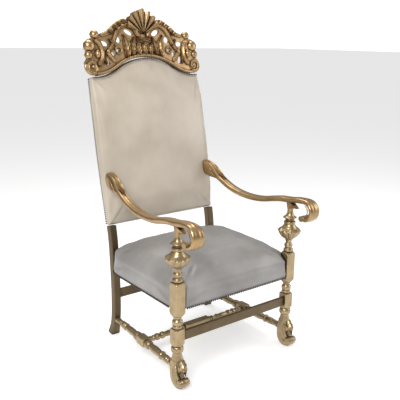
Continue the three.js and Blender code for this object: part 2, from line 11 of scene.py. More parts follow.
import bmesh
import bpy
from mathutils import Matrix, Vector


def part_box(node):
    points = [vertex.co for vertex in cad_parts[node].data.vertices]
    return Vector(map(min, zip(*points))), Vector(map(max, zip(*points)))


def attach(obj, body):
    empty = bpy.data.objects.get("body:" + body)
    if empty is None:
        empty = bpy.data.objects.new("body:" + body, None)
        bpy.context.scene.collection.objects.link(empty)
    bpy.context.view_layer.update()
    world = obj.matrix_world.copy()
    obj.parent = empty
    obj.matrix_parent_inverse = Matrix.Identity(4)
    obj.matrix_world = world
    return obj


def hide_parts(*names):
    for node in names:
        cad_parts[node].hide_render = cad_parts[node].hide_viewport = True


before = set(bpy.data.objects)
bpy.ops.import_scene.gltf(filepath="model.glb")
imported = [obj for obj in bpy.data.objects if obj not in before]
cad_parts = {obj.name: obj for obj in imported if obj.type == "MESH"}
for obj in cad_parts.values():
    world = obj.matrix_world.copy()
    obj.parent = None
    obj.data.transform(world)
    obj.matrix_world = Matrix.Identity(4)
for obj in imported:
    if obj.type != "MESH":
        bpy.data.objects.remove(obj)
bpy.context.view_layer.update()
RAIL_FRONT = -12
AXIS_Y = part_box("front_rail")[0].y * 1000 - RAIL_FRONT
LEG_X = 287.5
UPRIGHT_X = 266
LEAN = math.atan(0.205)
BACK_Y, BACK_Z = 525.5, 508
BACKWARDS = Vector((0, math.cos(LEAN), -math.sin(LEAN)))


def at(x, y, z):
    """Workshop millimetres to the frame's metres."""
    return Vector((x, y + AXIS_Y, z)) / 1000


def on_back(x, y, v):
    """A place on the leaning back: across, backwards, and up along its lean from its lower edge."""
    backward = BACK_Y + y * math.cos(LEAN) + v * math.sin(LEAN)
    return at(x, backward, BACK_Z - y * math.sin(LEAN) + v * math.cos(LEAN))


print("nodes:", sorted(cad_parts), "front legs' line at y =", round(AXIS_Y, 1), "mm")

# %% [markdown]
# ## Camera, floor and light
# The chair is seen from its left front and a little above. A long lens at almost three metres keeps its lines calm.
# The light is what a furniture studio uses: one large soft lamp high on the left, a weaker one on the right and a
# pale room round it. Gold looks like gold only where it has something dark as well as something bright to mirror,
# so the room is bright overhead and dim towards the floor.

# %% Camera, floor and lamps
scene = bpy.context.scene
camera_data = bpy.data.cameras.new("camera")
camera_data.sensor_width = 36
camera_data.lens = 54.61
camera = bpy.data.objects.new("camera", camera_data)
scene.collection.objects.link(camera)
camera.location = at(-1498.55, -1695.32, 1301.82)
look = Vector((0.59043, 0.76440, -0.25901))
camera.rotation_euler = look.to_track_quat("-Z", "Y").to_euler()
camera.rotation_euler.rotate_axis("Z", math.radians(0.858))
scene.camera = camera


def lamp(name, place, aim, size, watts, tint):
    """A square soft lamp at a place, turned to what it lights."""
    data = bpy.data.lights.new(name, "AREA")
    data.size, data.energy, data.color = size, watts, tint
    made = bpy.data.objects.new(name, data)
    made.location = place
    made.rotation_euler = (Vector(aim) - Vector(place)).to_track_quat("-Z", "Y").to_euler()
    scene.collection.objects.link(made)


lamp("key", (-2.3, -1.7, 2.6), (0, 0, 0.7), 1.5, 95, (1.0, 0.985, 0.96))
lamp("fill", (2.6, -1.6, 1.7), (0, 0, 0.6), 2.0, 34, (0.97, 0.98, 1.0))
lamp("top", (0.2, 0.9, 3.0), (0, 0, 0.9), 1.6, 40, (1.0, 1.0, 1.0))

world = bpy.data.worlds.new("studio")
scene.world = world
world.use_nodes = True
nodes, links = world.node_tree.nodes, world.node_tree.links
nodes.clear()
direction = nodes.new("ShaderNodeTexCoord")
height = nodes.new("ShaderNodeSeparateXYZ")
room = nodes.new("ShaderNodeValToRGB")
room.color_ramp.elements[0].position, room.color_ramp.elements[0].color = 0.0, (0.10, 0.10, 0.105, 1)
room.color_ramp.elements[1].position, room.color_ramp.elements[1].color = 0.9, (1.0, 1.0, 1.0, 1)
lit = nodes.new("ShaderNodeBackground")
lit.inputs["Strength"].default_value = 0.62
seen = nodes.new("ShaderNodeBackground")
seen.inputs["Color"].default_value = (1.0, 1.0, 1.0, 1)
seen.inputs["Strength"].default_value = 1.25
path_kind = nodes.new("ShaderNodeLightPath")
either = nodes.new("ShaderNodeMixShader")
result = nodes.new("ShaderNodeOutputWorld")
links.new(direction.outputs["Generated"], height.inputs["Vector"])
links.new(height.outputs["Z"], room.inputs["Fac"])
links.new(room.outputs["Color"], lit.inputs["Color"])
links.new(path_kind.outputs["Is Camera Ray"], either.inputs["Fac"])
links.new(lit.outputs["Background"], either.inputs[1])
links.new(seen.outputs["Background"], either.inputs[2])
links.new(either.outputs["Shader"], result.inputs["Surface"])
scene.view_settings.view_transform = "Standard"
print("camera at", [round(c, 3) for c in camera.location])

# %% [markdown]
# ## Gilding
# Gold leaf over bole is warm and slightly broken: bright on the high places and brown in the hollows. The brown in the
# hollows is painted shade from an ambient-occlusion mask, and slow clouds of dirt and old varnish are added to it. One
# shader group works that out for every gilded piece. It takes a bright and a dark colour and gives back colour,
# roughness and the height for a fine bump. The same group serves the bronze-toned flat wood with other values.

# %% A group for old gilding
def group_socket(group, name, kind, side, value=None):
    """Adds a named socket to a shader group."""
    made = group.interface.new_socket(name=name, in_out=side, socket_type=kind)
    if value is not None:
        made.default_value = value
    return made


def gilding_group():
    group = bpy.data.node_groups.new("old gilding", "ShaderNodeTree")
    group_socket(group, "Bright", "NodeSocketColor", "INPUT", (0.75, 0.55, 0.28, 1))
    group_socket(group, "Dark", "NodeSocketColor", "INPUT", (0.12, 0.06, 0.025, 1))
    group_socket(group, "Dirt and shade", "NodeSocketFloat", "INPUT", 0.8)
    group_socket(group, "Roughness", "NodeSocketFloat", "INPUT", 0.33)
    group_socket(group, "Reach", "NodeSocketFloat", "INPUT", 0.012)
    group_socket(group, "Color", "NodeSocketColor", "OUTPUT")
    group_socket(group, "Roughness", "NodeSocketFloat", "OUTPUT")
    group_socket(group, "Height", "NodeSocketFloat", "OUTPUT")
    node = group.nodes.new
    given, gives = node("NodeGroupInput"), node("NodeGroupOutput")
    place = node("ShaderNodeTexCoord")
    open_air = node("ShaderNodeAmbientOcclusion")
    open_air.samples = 8
    clouds, leaf = node("ShaderNodeTexNoise"), node("ShaderNodeTexNoise")
    clouds.inputs["Scale"].default_value, clouds.inputs["Detail"].default_value = 28, 4
    leaf.inputs["Scale"].default_value, leaf.inputs["Detail"].default_value = 240, 3
    # Painted shade: the ambient occlusion is mapped so that hollows, creases and corners turn towards the dark colour.
    hollow = node("ShaderNodeMapRange")
    hollow.inputs["From Min"].default_value, hollow.inputs["From Max"].default_value = 0.97, 0.35
    broken = node("ShaderNodeMath")
    broken.operation = "MULTIPLY_ADD"
    broken.inputs[1].default_value, broken.inputs[2].default_value = 0.9, -0.36
    # The dark colour's share adds that painted shade to slow clouds of dirt and old varnish.
    total, dirt_and_shade = node("ShaderNodeMath"), node("ShaderNodeMath")
    total.operation, dirt_and_shade.operation = "ADD", "MULTIPLY"
    dirt_and_shade.use_clamp = True
    mixed = node("ShaderNodeMix")
    mixed.data_type = "RGBA"
    tone = node("ShaderNodeHueSaturation")
    tone_range = node("ShaderNodeMapRange")
    tone_range.inputs["To Min"].default_value, tone_range.inputs["To Max"].default_value = 0.82, 1.16
    rough = node("ShaderNodeMath")
    rough.operation = "MULTIPLY_ADD"
    rough.inputs[1].default_value = 0.22
    link = group.links.new
    link(place.outputs["Object"], clouds.inputs["Vector"])
    link(place.outputs["Object"], leaf.inputs["Vector"])
    link(given.outputs["Reach"], open_air.inputs["Distance"])
    link(open_air.outputs["AO"], hollow.inputs["Value"])
    link(clouds.outputs["Fac"], broken.inputs[0])
    link(hollow.outputs["Result"], total.inputs[0])
    link(broken.outputs["Value"], total.inputs[1])
    link(total.outputs["Value"], dirt_and_shade.inputs[0])
    link(given.outputs["Dirt and shade"], dirt_and_shade.inputs[1])
    link(dirt_and_shade.outputs["Value"], mixed.inputs["Factor"])
    link(leaf.outputs["Fac"], tone_range.inputs["Value"])
    link(tone_range.outputs["Result"], tone.inputs["Value"])
    link(given.outputs["Bright"], tone.inputs["Color"])
    link(tone.outputs["Color"], mixed.inputs["A"])
    link(given.outputs["Dark"], mixed.inputs["B"])
    link(mixed.outputs["Result"], gives.inputs["Color"])
    link(dirt_and_shade.outputs["Value"], rough.inputs[0])
    link(given.outputs["Roughness"], rough.inputs[2])
    link(rough.outputs["Value"], gives.inputs["Roughness"])
    link(leaf.outputs["Fac"], gives.inputs["Height"])
    return group


OLD_GILDING = gilding_group()


def gilded(name, bright, dark, dirt_and_shade, roughness, metallic, reach=0.012, bump=0.12):
    """A material of old gilding with its own tones."""
    made = bpy.data.materials.new(name)
    made.use_nodes = True
    node, link = made.node_tree.nodes, made.node_tree.links.new
    surface = node["Principled BSDF"]
    surface.inputs["Metallic"].default_value = metallic
    effect = node.new("ShaderNodeGroup")
    effect.node_tree = OLD_GILDING
    effect.inputs["Bright"].default_value = (*bright, 1)
    effect.inputs["Dark"].default_value = (*dark, 1)
    # How strongly painted shade in the hollows, together with the dirt clouds, darkens this finish.
    effect.inputs["Dirt and shade"].default_value = dirt_and_shade
    effect.inputs["Roughness"].default_value = roughness
    effect.inputs["Reach"].default_value = reach
    raised = node.new("ShaderNodeBump")
    raised.inputs["Strength"].default_value = bump
    raised.inputs["Distance"].default_value = 0.0006
    link(effect.outputs["Color"], surface.inputs["Base Color"])
    link(effect.outputs["Roughness"], surface.inputs["Roughness"])
    link(effect.outputs["Height"], raised.inputs["Height"])
    link(raised.outputs["Normal"], surface.inputs["Normal"])
    return made


# The fourth value of each finish sets the strength of its painted shade in the hollows and of its dirt clouds.
GOLD = gilded("antique gold", (0.43, 0.285, 0.14), (0.075, 0.034, 0.015), 1.05, 0.30, 0.85)
PALE_GOLD = gilded("champagne gold", (0.40, 0.30, 0.17), (0.075, 0.048, 0.026), 1.0, 0.30, 0.82)
BRONZE = gilded("olive bronze", (0.13, 0.092, 0.05), (0.05, 0.033, 0.018), 0.8, 0.38, 0.75, reach=0.02)
print("gilded finishes:", [m.name for m in (GOLD, PALE_GOLD, BRONZE)])

# %% [markdown]
# ## Leather
# The covers are smooth hide in a warm grey. Leather is not one flat colour: it clouds a little from place to place
# and carries a fine pebbled grain that breaks up its sheen. The clouding is slow noise, the grain a small cell
# pattern fed to a bump.

# %% Leather and nail materials
def leather(name, colour, shade, roughness):
    """Smooth upholstery hide with clouding and a fine grain."""
    made = bpy.data.materials.new(name)
    made.use_nodes = True
    node, link = made.node_tree.nodes, made.node_tree.links.new
    surface = node["Principled BSDF"]
    surface.inputs["Specular IOR Level"].default_value = 0.5
    surface.inputs["Coat Weight"].default_value = 0.12
    surface.inputs["Coat Roughness"].default_value = 0.35
    place = node.new("ShaderNodeTexCoord")
    clouds = node.new("ShaderNodeTexNoise")
    clouds.inputs["Scale"].default_value, clouds.inputs["Detail"].default_value = 7, 5
    spread = node.new("ShaderNodeMapRange")
    spread.inputs["From Min"].default_value, spread.inputs["From Max"].default_value = 0.3, 0.7
    tint = node.new("ShaderNodeMix")
    tint.data_type = "RGBA"
    tint.inputs["A"].default_value, tint.inputs["B"].default_value = (*shade, 1), (*colour, 1)
    rough = node.new("ShaderNodeMapRange")
    rough.inputs["To Min"].default_value, rough.inputs["To Max"].default_value = roughness + 0.06, roughness - 0.04
    grain = node.new("ShaderNodeTexVoronoi")
    grain.inputs["Scale"].default_value = 620
    crease = node.new("ShaderNodeTexNoise")
    crease.inputs["Scale"].default_value, crease.inputs["Detail"].default_value = 45, 6
    relief = node.new("ShaderNodeMath")
    relief.operation = "MULTIPLY_ADD"
    relief.inputs[1].default_value = 0.55
    raised = node.new("ShaderNodeBump")
    raised.inputs["Strength"].default_value, raised.inputs["Distance"].default_value = 0.22, 0.0006
    link(place.outputs["Object"], clouds.inputs["Vector"])
    link(place.outputs["Object"], grain.inputs["Vector"])
    link(place.outputs["Object"], crease.inputs["Vector"])
    link(clouds.outputs["Fac"], spread.inputs["Value"])
    link(spread.outputs["Result"], tint.inputs["Factor"])
    link(tint.outputs["Result"], surface.inputs["Base Color"])
    link(clouds.outputs["Fac"], rough.inputs["Value"])
    link(rough.outputs["Result"], surface.inputs["Roughness"])
    link(grain.outputs["Distance"], relief.inputs[0])
    link(crease.outputs["Fac"], relief.inputs[2])
    link(relief.outputs["Value"], raised.inputs["Height"])
    link(raised.outputs["Normal"], surface.inputs["Normal"])
    return made


BACK_HIDE = leather("back hide", (0.49, 0.43, 0.355), (0.39, 0.335, 0.27), 0.42)
SEAT_HIDE = leather("seat hide", (0.30, 0.29, 0.28), (0.20, 0.19, 0.18), 0.38)
NAIL_METAL = gilded("dark nail metal", (0.07, 0.055, 0.045), (0.02, 0.015, 0.012), 0.6, 0.34, 0.9, reach=0.004)
print("hides:", BACK_HIDE.name, "and", SEAT_HIDE.name)

# %% [markdown]
# ## A few workshop helpers
# Almost everything here is a grid rolled into a tube: a turning is a straight tube whose width changes, an arm is a
# bent one, and a carved leaf is a grid left open and then given sides and a back. So the helpers make a grid with one
# bmesh operator, put its corners where a rule says, weld the seam and fill the ends.

# %% Helpers: grids, tubes, sweeps and finished pieces
def smooth_path(points):
    """A soft curve through points, as a function of t from 0 to 1."""
    pts = [Vector(p) for p in points]
    pts = [pts[0] * 2 - pts[1], *pts, pts[-1] * 2 - pts[-2]]

    def curve(t):
        s = min(max(t, 0.0), 1.0) * (len(pts) - 3)
        i = min(int(s), len(pts) - 4)
        f = s - i
        a, b, c, d = pts[i : i + 4]
        return (b * 2 + (c - a) * f + (a * 2 - b * 5 + c * 4 - d) * f**2 + (b * 3 - a - c * 3 + d) * f**3) / 2

    return curve


def tube(rows, columns, place):
    """A closed tube: place(row, column) gives each corner its place in metres."""
    bm = bmesh.new()
    bmesh.ops.create_grid(bm, x_segments=rows, y_segments=columns, size=0.5)
    for v in bm.verts:
        v.co = place(round((v.co.x + 0.5) * rows), round((v.co.y + 0.5) * columns) % columns)
    bmesh.ops.remove_doubles(bm, verts=bm.verts, dist=2e-6)
    bmesh.ops.holes_fill(bm, edges=[e for e in bm.edges if e.is_boundary], sides=0)
    return bm


def carved_sheet(rows, columns, place, behind):
    """A carved face with sides and a flat back: place(u, v) gives the face, behind(point) its back."""
    bm = bmesh.new()
    bmesh.ops.create_grid(bm, x_segments=rows, y_segments=columns, size=0.5)
    for v in bm.verts:
        v.co = place(v.co.x + 0.5, v.co.y * 2)
    bmesh.ops.remove_doubles(bm, verts=bm.verts, dist=2e-6)
    rim = [e for e in bm.edges if e.is_boundary]
    walls = bmesh.ops.extrude_edge_only(bm, edges=rim)["geom"]
    for v in (g for g in walls if isinstance(g, bmesh.types.BMVert)):
        v.co = behind(v.co)
    bmesh.ops.holes_fill(bm, edges=[e for e in bm.edges if e.is_boundary], sides=0)
    return bm


def sweep(curve, across, rows, columns, section, where=at):
    """A bar along a curve. section(t, angle) gives its reach across and up at an angle round it."""
    frames = []
    for i in range(rows + 1):
        t = i / rows
        tangent = (curve(t + 0.002) - curve(t - 0.002)).normalized()
        up = Vector(across).cross(tangent).normalized()
        frames.append((t, curve(t), up, tangent.cross(up)))

    def place(row, column):
        t, middle, up, side = frames[row]
        a, n = section(t, 2 * math.pi * column / columns)
        return where(*(middle + side * a + up * n))

    return tube(rows, columns, place)


def ball(x, y, z, rx, ry, rz, where=at, sides=20):
    """A round bead or bud."""
    bm = bmesh.new()
    bmesh.ops.create_uvsphere(bm, u_segments=sides, v_segments=max(8, sides * 3 // 5), radius=1)
    for v in bm.verts:
        v.co = where(x + rx * v.co.x, y + ry * v.co.y, z + rz * v.co.z)
    return bm


def gather(parts):
    """Puts several closed forms into one bmesh."""
    whole = bmesh.new()
    for part in parts:
        bmesh.ops.recalc_face_normals(part, faces=part.faces)
        mesh = bpy.data.meshes.new("part")
        part.to_mesh(mesh)
        part.free()
        whole.from_mesh(mesh)
        bpy.data.meshes.remove(mesh)
    return whole


def mirrored(bm):
    """The same forms on the other side of X = 0."""
    other = bm.copy()
    bmesh.ops.scale(other, vec=(-1, 1, 1), verts=other.verts)
    bmesh.ops.reverse_faces(other, faces=other.faces)
    return other


def finish_piece(bm, name, material, slot, *nodes, angle=40):
    """Makes an object of the forms, in place of the frame's nodes."""
    mesh = bpy.data.meshes.new(name)
    bm.to_mesh(mesh)
    bm.free()
    mesh.shade_smooth()
    mesh.set_sharp_from_angle(angle=math.radians(angle))
    mesh.materials.append(material)
    piece = bpy.data.objects.new(name, mesh)
    scene.collection.objects.link(piece)
    if nodes:
        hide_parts(*nodes)
    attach(piece, "root")
    print(f"{name}: {sum(len(p.vertices) - 2 for p in mesh.polygons)} triangles")
    return piece


def ease(t, a, b):
    """Goes smoothly from 0 to 1 as t goes from a to b."""
    s = min(max((t - a) / (b - a), 0.0), 1.0)
    return s * s * (3 - 2 * s)


print("helpers ready")

# %% [markdown]
# ## The front legs
# A front leg is one post, square where the rails meet it and turned to beads, coves and a leaf-carved vase between.
# The turner leaves the corners of a square block and rounds its two ends, so the outline there is whichever is
# smaller: the square or the turned circle. That one rule gives the block its true sloping shoulders. The carved
# foot below is a body that bends forward into a rolled toe, dressed with hanging leaves.

# %% Rows of turned mouldings
QUARTER = (0, 7.5, 15, 22.5, 30, 36.5, 41.4, 48.6, 53.5, 60, 67.5, 75, 82.5)
ROUND = [math.radians(90 * q + a) for q in range(4) for a in QUARTER]
ARRIS = 2.6
SHARES = {
    "bead": lambda s: (1 - abs(2 * s - 1) ** 2.6) ** 0.45,
    "ball": lambda s: math.sqrt(1 - (2 * s - 1) ** 2),
    "drop": lambda s: math.sin(math.pi * s) ** 0.75 if 0 < s < 1 else 0,
    "spindle": lambda s: math.sin(math.pi * s) ** 0.55 if 0 < s < 1 else 0,
    "cone": lambda s: s * s * 0.4 + s * 0.6,
}


def turned(kind, low, high, neck, full, steps=9):
    """Rows (place, radius, no square) of one moulding that swells from its neck to its full radius."""
    return [(low + (high - low) * k / steps, neck + (full - neck) * SHARES[kind](k / steps), None)
            for k in range(steps + 1)]


def squared(low, high, side, neck, shoulder, upper=0.6):
    """Rows of a square block with its corners turned away at both ends."""
    corner = side * 0.708
    rise = [(k / 7, neck + (corner - neck) * math.sin(math.pi / 2 * k / 7) ** 0.7) for k in range(8)]
    rows = [(low + shoulder * s, r, side / 2) for s, r in rise]
    return rows + [(high - shoulder * upper * s, r, side / 2) for s, r in reversed(rise)]


def column(rows, axis, carve=None, angles=ROUND):
    """A turning. axis(place, across, other) puts a corner; carve(angle, place) scales its radius."""

    def place(row, col):
        p, radius, half = rows[row]
        c, s = math.cos(angles[col]), math.sin(angles[col])
        if half:
            radius = min(radius, half / max(abs(c), abs(s)), (2 * half - ARRIS) / (abs(c) + abs(s)))
        if carve:
            radius *= carve(angles[col], p)
        return axis(p, radius * c, radius * s)

    return tube(len(rows) - 1, len(angles), place)


def upright(p, a, b):
    return at(LEG_X + a, b, p)


LEG_ROWS = [
    *turned("cone", 96, 134, 25.5, 18.5), (139, 17.2, None), *turned("ball", 144, 171, 18, 24.5),
    *squared(173, 243, 42, 17.5, 13),
    *turned("bead", 244, 256, 16.5, 19), *turned("bead", 257, 278, 16.5, 20.3), (280, 15, None), (284, 14, None),
    (289, 17.0, None), *squared(293, 431, 45, 16.5, 24),
    *turned("bead", 432, 444, 16.5, 20.5), (447, 15, None), *turned("bead", 451, 466, 14.5, 17.8), (469, 13, None),
    *turned("cone", 473, 488, 12, 18),
]
COLLAR_ROWS = [
    *turned("bead", 553, 565, 21, 24.8), (567, 17.5, None), (572, 19, None), (576.5, 23, None), (580, 28.2, None),
    (581.3, 28.8, None), (582.4, 28.2, None), (586, 22.5, None), (590, 18, None), (597, 14.5, None),
    (603, 12.8, None), (608, 12.4, None), (614, 12.4, None),
]
print(len(LEG_ROWS) + len(COLLAR_ROWS), "rows in a front leg")


# %% The carved vase
VASE_LEAVES = 10
lower_vase = smooth_path([(17, 0, 486), (23, 0, 491), (33, 0, 500), (42, 0, 513), (47, 0, 525)])
upper_vase = smooth_path([(46.4, 0, 526.5), (36.5, 0, 535), (26, 0, 546), (21.5, 0, 554)])
VASE_ROWS = [(lower_vase(k / 20).z, lower_vase(k / 20).x, None) for k in range(21)]
VASE_ROWS += [(upper_vase(k / 12).z, upper_vase(k / 12).x, None) for k in range(13)]
VASE_ROUND = [2 * math.pi * k / 120 for k in range(120)]


def vase_leaves(angle, z):
    """Upright leaves round the vase, with a rib up the middle of each and a round tip just over its edge."""
    q = abs((angle * VASE_LEAVES / (2 * math.pi)) % 1 * 2 - 1)
    h = min(max((z - 488) / 48, 0.0), 1.0)
    spread = math.sqrt(max(0.0, 1 - h**3)) * 0.96
    raised = ease(spread - q, 0.0, 0.22)
    rib = 1 - ease(q, 0.0, 0.3)
    fade = ease(z, 488, 494) * (1 - ease(z, 538, 542))
    return 1 + fade * (0.075 * raised + 0.03 * rib * raised - 0.055)


print("vase:", len(VASE_ROWS), "rows,", VASE_LEAVES, "leaves")


# %% Leaves and scrolls for the foot
def leaf(points, width, thickness, across=(-1, 0, 0), lobes=3, where=at, rows=26):
    """An acanthus leaf bent along points: ribbed, hollowed beside the rib, and lobed along its edges."""

    def section(t, angle):
        s, c = math.sin(angle), math.cos(angle)
        taper = (0.5 + 0.5 * math.sin(math.pi * min(1.15 * t, 1))) * (1 - 0.72 * ease(t, 0.68, 1))
        edge = 1 - 0.20 * abs(math.cos(math.pi * lobes * t)) ** 3
        hollow = 0.66 + 0.34 * math.cos(2 * math.pi * s)
        lift = abs(c) ** 0.55
        return width * taper * edge * s, thickness * lift * hollow if c > 0 else -0.45 * thickness * lift

    return sweep(smooth_path(points), across, rows, 28, section, where)


def curl(x, y, z, outer, inner, turns, start, bead_size, where=at, plane="yz", lift=0.0):
    """A spiral ridge lying in a plane, from an outer to an inner radius."""
    points = []
    for k in range(int(turns * 10) + 1):
        t = k / int(turns * 10)
        r, a = outer + (inner - outer) * t, start + 2 * math.pi * turns * t
        u, w = r * math.cos(a), r * math.sin(a)
        points.append((x + lift * t, y + u, z + w) if plane == "yz" else (x + u, y - lift * t, z + w))
    across = (1, 0, 0) if plane == "yz" else (0, -1, 0)

    def section(t, angle):
        size = bead_size * (1 - 0.4 * t)
        return size * math.sin(angle), size * math.cos(angle)

    return sweep(smooth_path(points), across, int(turns * 24), 10, section, where)


def foot_body():
    spine = smooth_path([(LEG_X, 0, 114), (LEG_X, 2, 86), (LEG_X, 5, 56), (LEG_X, 1, 29), (LEG_X, -20, 18.5),
                         (LEG_X, -38, 26)])

    def section(t, angle):
        s, c = math.sin(angle), math.cos(angle)
        w = 24 - 3 * ease(t, 0, 0.5)
        h = 25 + 7 * ease(t, 0, 0.3) - 15 * ease(t, 0.5, 1)
        flute = 1 - 0.045 * (1 - abs(math.cos(4 * angle))) * ease(t, 0.05, 0.2)
        return w * s * flute, h * c * flute

    return sweep(spine, (1, 0, 0), 44, 48, section)


def toe_roll():
    line = smooth_path([(LEG_X - 22, -42, 31), (LEG_X, -42, 31), (LEG_X + 22, -42, 31)])

    def section(t, angle):
        r = 19 * (0.68 + 0.32 * math.sin(math.pi * t)) * (1 - 0.05 * abs(math.sin(4 * math.pi * t)))
        return r * math.sin(angle), r * math.cos(angle)

    return sweep(line, (0, -1, 0), 28, 36, section)


def scroll_foot():
    x = LEG_X
    parts = [foot_body(), toe_roll()]
    parts.append(leaf([(x, -16, 118), (x, -28, 103), (x, -38, 92), (x, -46, 83), (x, -50, 88)], 15, 7))
    for side in (-1, 1):
        parts.append(leaf([(x + side * 13, -10, 116), (x + side * 20, -16, 92), (x + side * 21, -22, 66),
                           (x + side * 18, -33, 46)], 12, 6, across=(-0.5, side * 0.8, 0), lobes=4))
        parts.append(leaf([(x + side * 15, 8, 116), (x + side * 21, 10, 92), (x + side * 21, 8, 66),
                           (x + side * 19, -2, 42)], 11, 5, across=(0, side, 0), lobes=4))
        parts.append(curl(x + side * 19.5, -42, 31, 13.5, 3, 1.4, 0.8, 3.1))
        parts.append(ball(x + side * 20, -42, 31, 4, 4.5, 4.5))
    parts.append(leaf([(x, -24, 74), (x, -30, 62), (x, -38, 50), (x, -47, 47)], 10, 6, lobes=2))
    whole = gather(parts)
    for v in whole.verts:
        v.co.z = max(v.co.z, 0)
        v.co.y = min(v.co.y, (AXIS_Y + 31) / 1000)
    return whole


print("leaf and foot helpers ready")

# %% Make the two front legs
leg = gather([column(LEG_ROWS, upright), column(VASE_ROWS, upright, vase_leaves, VASE_ROUND),
              column(COLLAR_ROWS, upright), scroll_foot()])
finish_piece(mirrored(leg), "left_front_leg", PALE_GOLD, "gilding", "front_leg_left")
finish_piece(leg, "right_front_leg", PALE_GOLD, "gilding", "front_leg_right")

# %% [markdown]
# ## Stretchers
# The side stretchers are turned too, with one square block each to take the cross stretcher. They draw together a
# little towards the back, because the back legs stand closer than the front ones.

# %% Make the stretchers
DRAW_IN = math.atan2(LEG_X - UPRIGHT_X, 500)
HEEL, BACK_LEG_FRONT = 31, 482
STRETCHER_Z = 77
SIDE_ROWS = [
    *turned("cone", HEEL, 53, 15, 11.5, 4), *turned("drop", 53, 63, 11, 14), *turned("bead", 64, 98, 10.5, 15, 12),
    *turned("drop", 100, 119, 10.5, 17.5), *turned("spindle", 120, 199, 10.5, 16, 16),
    *turned("bead", 200, 229, 11, 19, 12), *squared(229.5, 290.5, 37, 12, 10, 1),
    *turned("bead", 291, 321, 11, 19, 12), *turned("spindle", 322, 396, 10.5, 15.5, 16),
    *turned("drop", 397, 411, 10.5, 16.5), *turned("bead", 412, 437, 10.5, 15, 12),
    *turned("drop", 439, 447, 10.5, 13.5),
    *turned("cone", 448, BACK_LEG_FRONT + 4, 11, 13.6, 4),
]


def along_side(p, a, b):
    c, s = math.cos(DRAW_IN), math.sin(DRAW_IN)
    return at(LEG_X + a * c - p * s, p * c + a * s, STRETCHER_Z + b)


CROSS_Y, CROSS_Z = 257, 74
CROSS_REACH = LEG_X - CROSS_Y * math.tan(DRAW_IN) - 37 / 2 - 1.3
HALF_CROSS = [
    *turned("drop", 69, 80, 11, 14.5), *turned("drop", 81, 93, 10, 14), (100, 9.5, None),
    *turned("drop", 108, 121, 10.5, 14.5),
    *turned("spindle", 122, 172, 9.5, 12.5, 14), *turned("bead", 173, 193, 10, 15), (196.5, 10, None),
    *turned("bead", 200, 219, 10, 15), *turned("drop", 223, 234, 10, 12.5),
    *turned("cone", 236, CROSS_REACH, 11, 13.5, 4),
]
CROSS_ROWS = [(-p, r, h) for p, r, h in reversed(HALF_CROSS)] + squared(-68, 68, 34, 12, 10, 1) + HALF_CROSS

side = column(SIDE_ROWS, along_side)
finish_piece(mirrored(side), "left_side_stretcher", PALE_GOLD, "gilding", "side_stretcher_left")
finish_piece(side, "right_side_stretcher", PALE_GOLD, "gilding", "side_stretcher_right")
finish_piece(column(CROSS_ROWS, lambda p, a, b: at(p, CROSS_Y + a, CROSS_Z + b)), "middle_stretcher", PALE_GOLD,
             "gilding", "cross_stretcher")

# %% [markdown]
# ## Back legs and rails
# These are plain sawn pieces with eased corners. A back leg kicks out at the floor, stands upright beside the seat and
# then leans with the back, so it is a square section taken along a curve. The rails are boards with softened edges.

# %% Make the back legs and rails
def along_back(v):
    """The middle of an upright, v above the back's lower edge."""
    return (UPRIGHT_X, BACK_Y + v * math.sin(LEAN), BACK_Z + v * math.cos(LEAN))


leg_line = smooth_path([(UPRIGHT_X, 526, 0), (UPRIGHT_X, 512, 42), (UPRIGHT_X, 502, 96), (UPRIGHT_X, 498.5, 170),
                        (UPRIGHT_X, 500, 250), (UPRIGHT_X, 505, 340), (UPRIGHT_X, 511, 420), along_back(-40),
                        along_back(-20), along_back(-0.3)])


def leg_section(t, angle):
    """A square with softened corners, a little broader at the floor."""
    half = 16.5 + 3 * (1 - ease(t, 0, 0.16))
    c, s = math.cos(angle), math.sin(angle)
    r = min(half / max(abs(c), abs(s)), (2 * half - 3.6) / (abs(c) + abs(s)))
    return r * s, r * c


back_leg = sweep(leg_line, (1, 0, 0), 72, 64, leg_section)
for v in back_leg.verts:
    v.co.z = max(v.co.z, 0)
finish_piece(mirrored(back_leg), "left_back_leg", BRONZE, "dark_gilding", "back_leg_left", angle=30)
finish_piece(back_leg, "right_back_leg", BRONZE, "dark_gilding", "back_leg_right", angle=30)


def board(low, high, name, node):
    """A board between two corners, its edges rounded by a plane."""
    bm = bmesh.new()
    bmesh.ops.create_cube(bm, size=1)
    a, b = at(*low), at(*high)
    bmesh.ops.scale(bm, vec=b - a, verts=bm.verts)
    bmesh.ops.translate(bm, vec=(a + b) / 2, verts=bm.verts)
    bmesh.ops.bevel(bm, geom=bm.edges, offset=0.002, offset_type="OFFSET", affect="EDGES", segments=3, profile=0.5,
                    material=-1)
    return finish_piece(bm, name, BRONZE, "dark_gilding", node)


board((-266.2, -12, 190), (266.2, 1, 229), "front_board", "front_rail")
board((-249.2, 489, 180), (249.2, 501, 221), "back_board", "back_rail")

# %% [markdown]
# ## Arms
# An arm is one long carved piece: a flat moulded rail that leaves the back high, dips, rises to the front and rolls
# over into a broad scroll. Its top is worked into three rolls with sharp quirks between them. Where it leaves the
# back it grows out of a lobed leaf. A curved bracket under it carries it on the leg.

# %% Helpers for the arms
ARM_LINE = [(258, 545, 707), (261, 505, 698), (265, 455, 680), (268, 405, 656), (270, 355, 637), (273, 300, 625),
            (275, 250, 621), (277, 200, 622), (280, 150, 628), (283, 100, 640), (286.5, 50, 650), (289, 0, 655),
            (290, -45, 663)]
for k in range(8):
    turn = math.pi / 2 + math.pi * 1.08 * k / 7
    reach = 37 - 4 * (k / 7) ** 2
    ARM_LINE.append((292, -88 + reach * math.cos(turn), 628 + reach * math.sin(turn)))
arm_line = smooth_path(ARM_LINE)


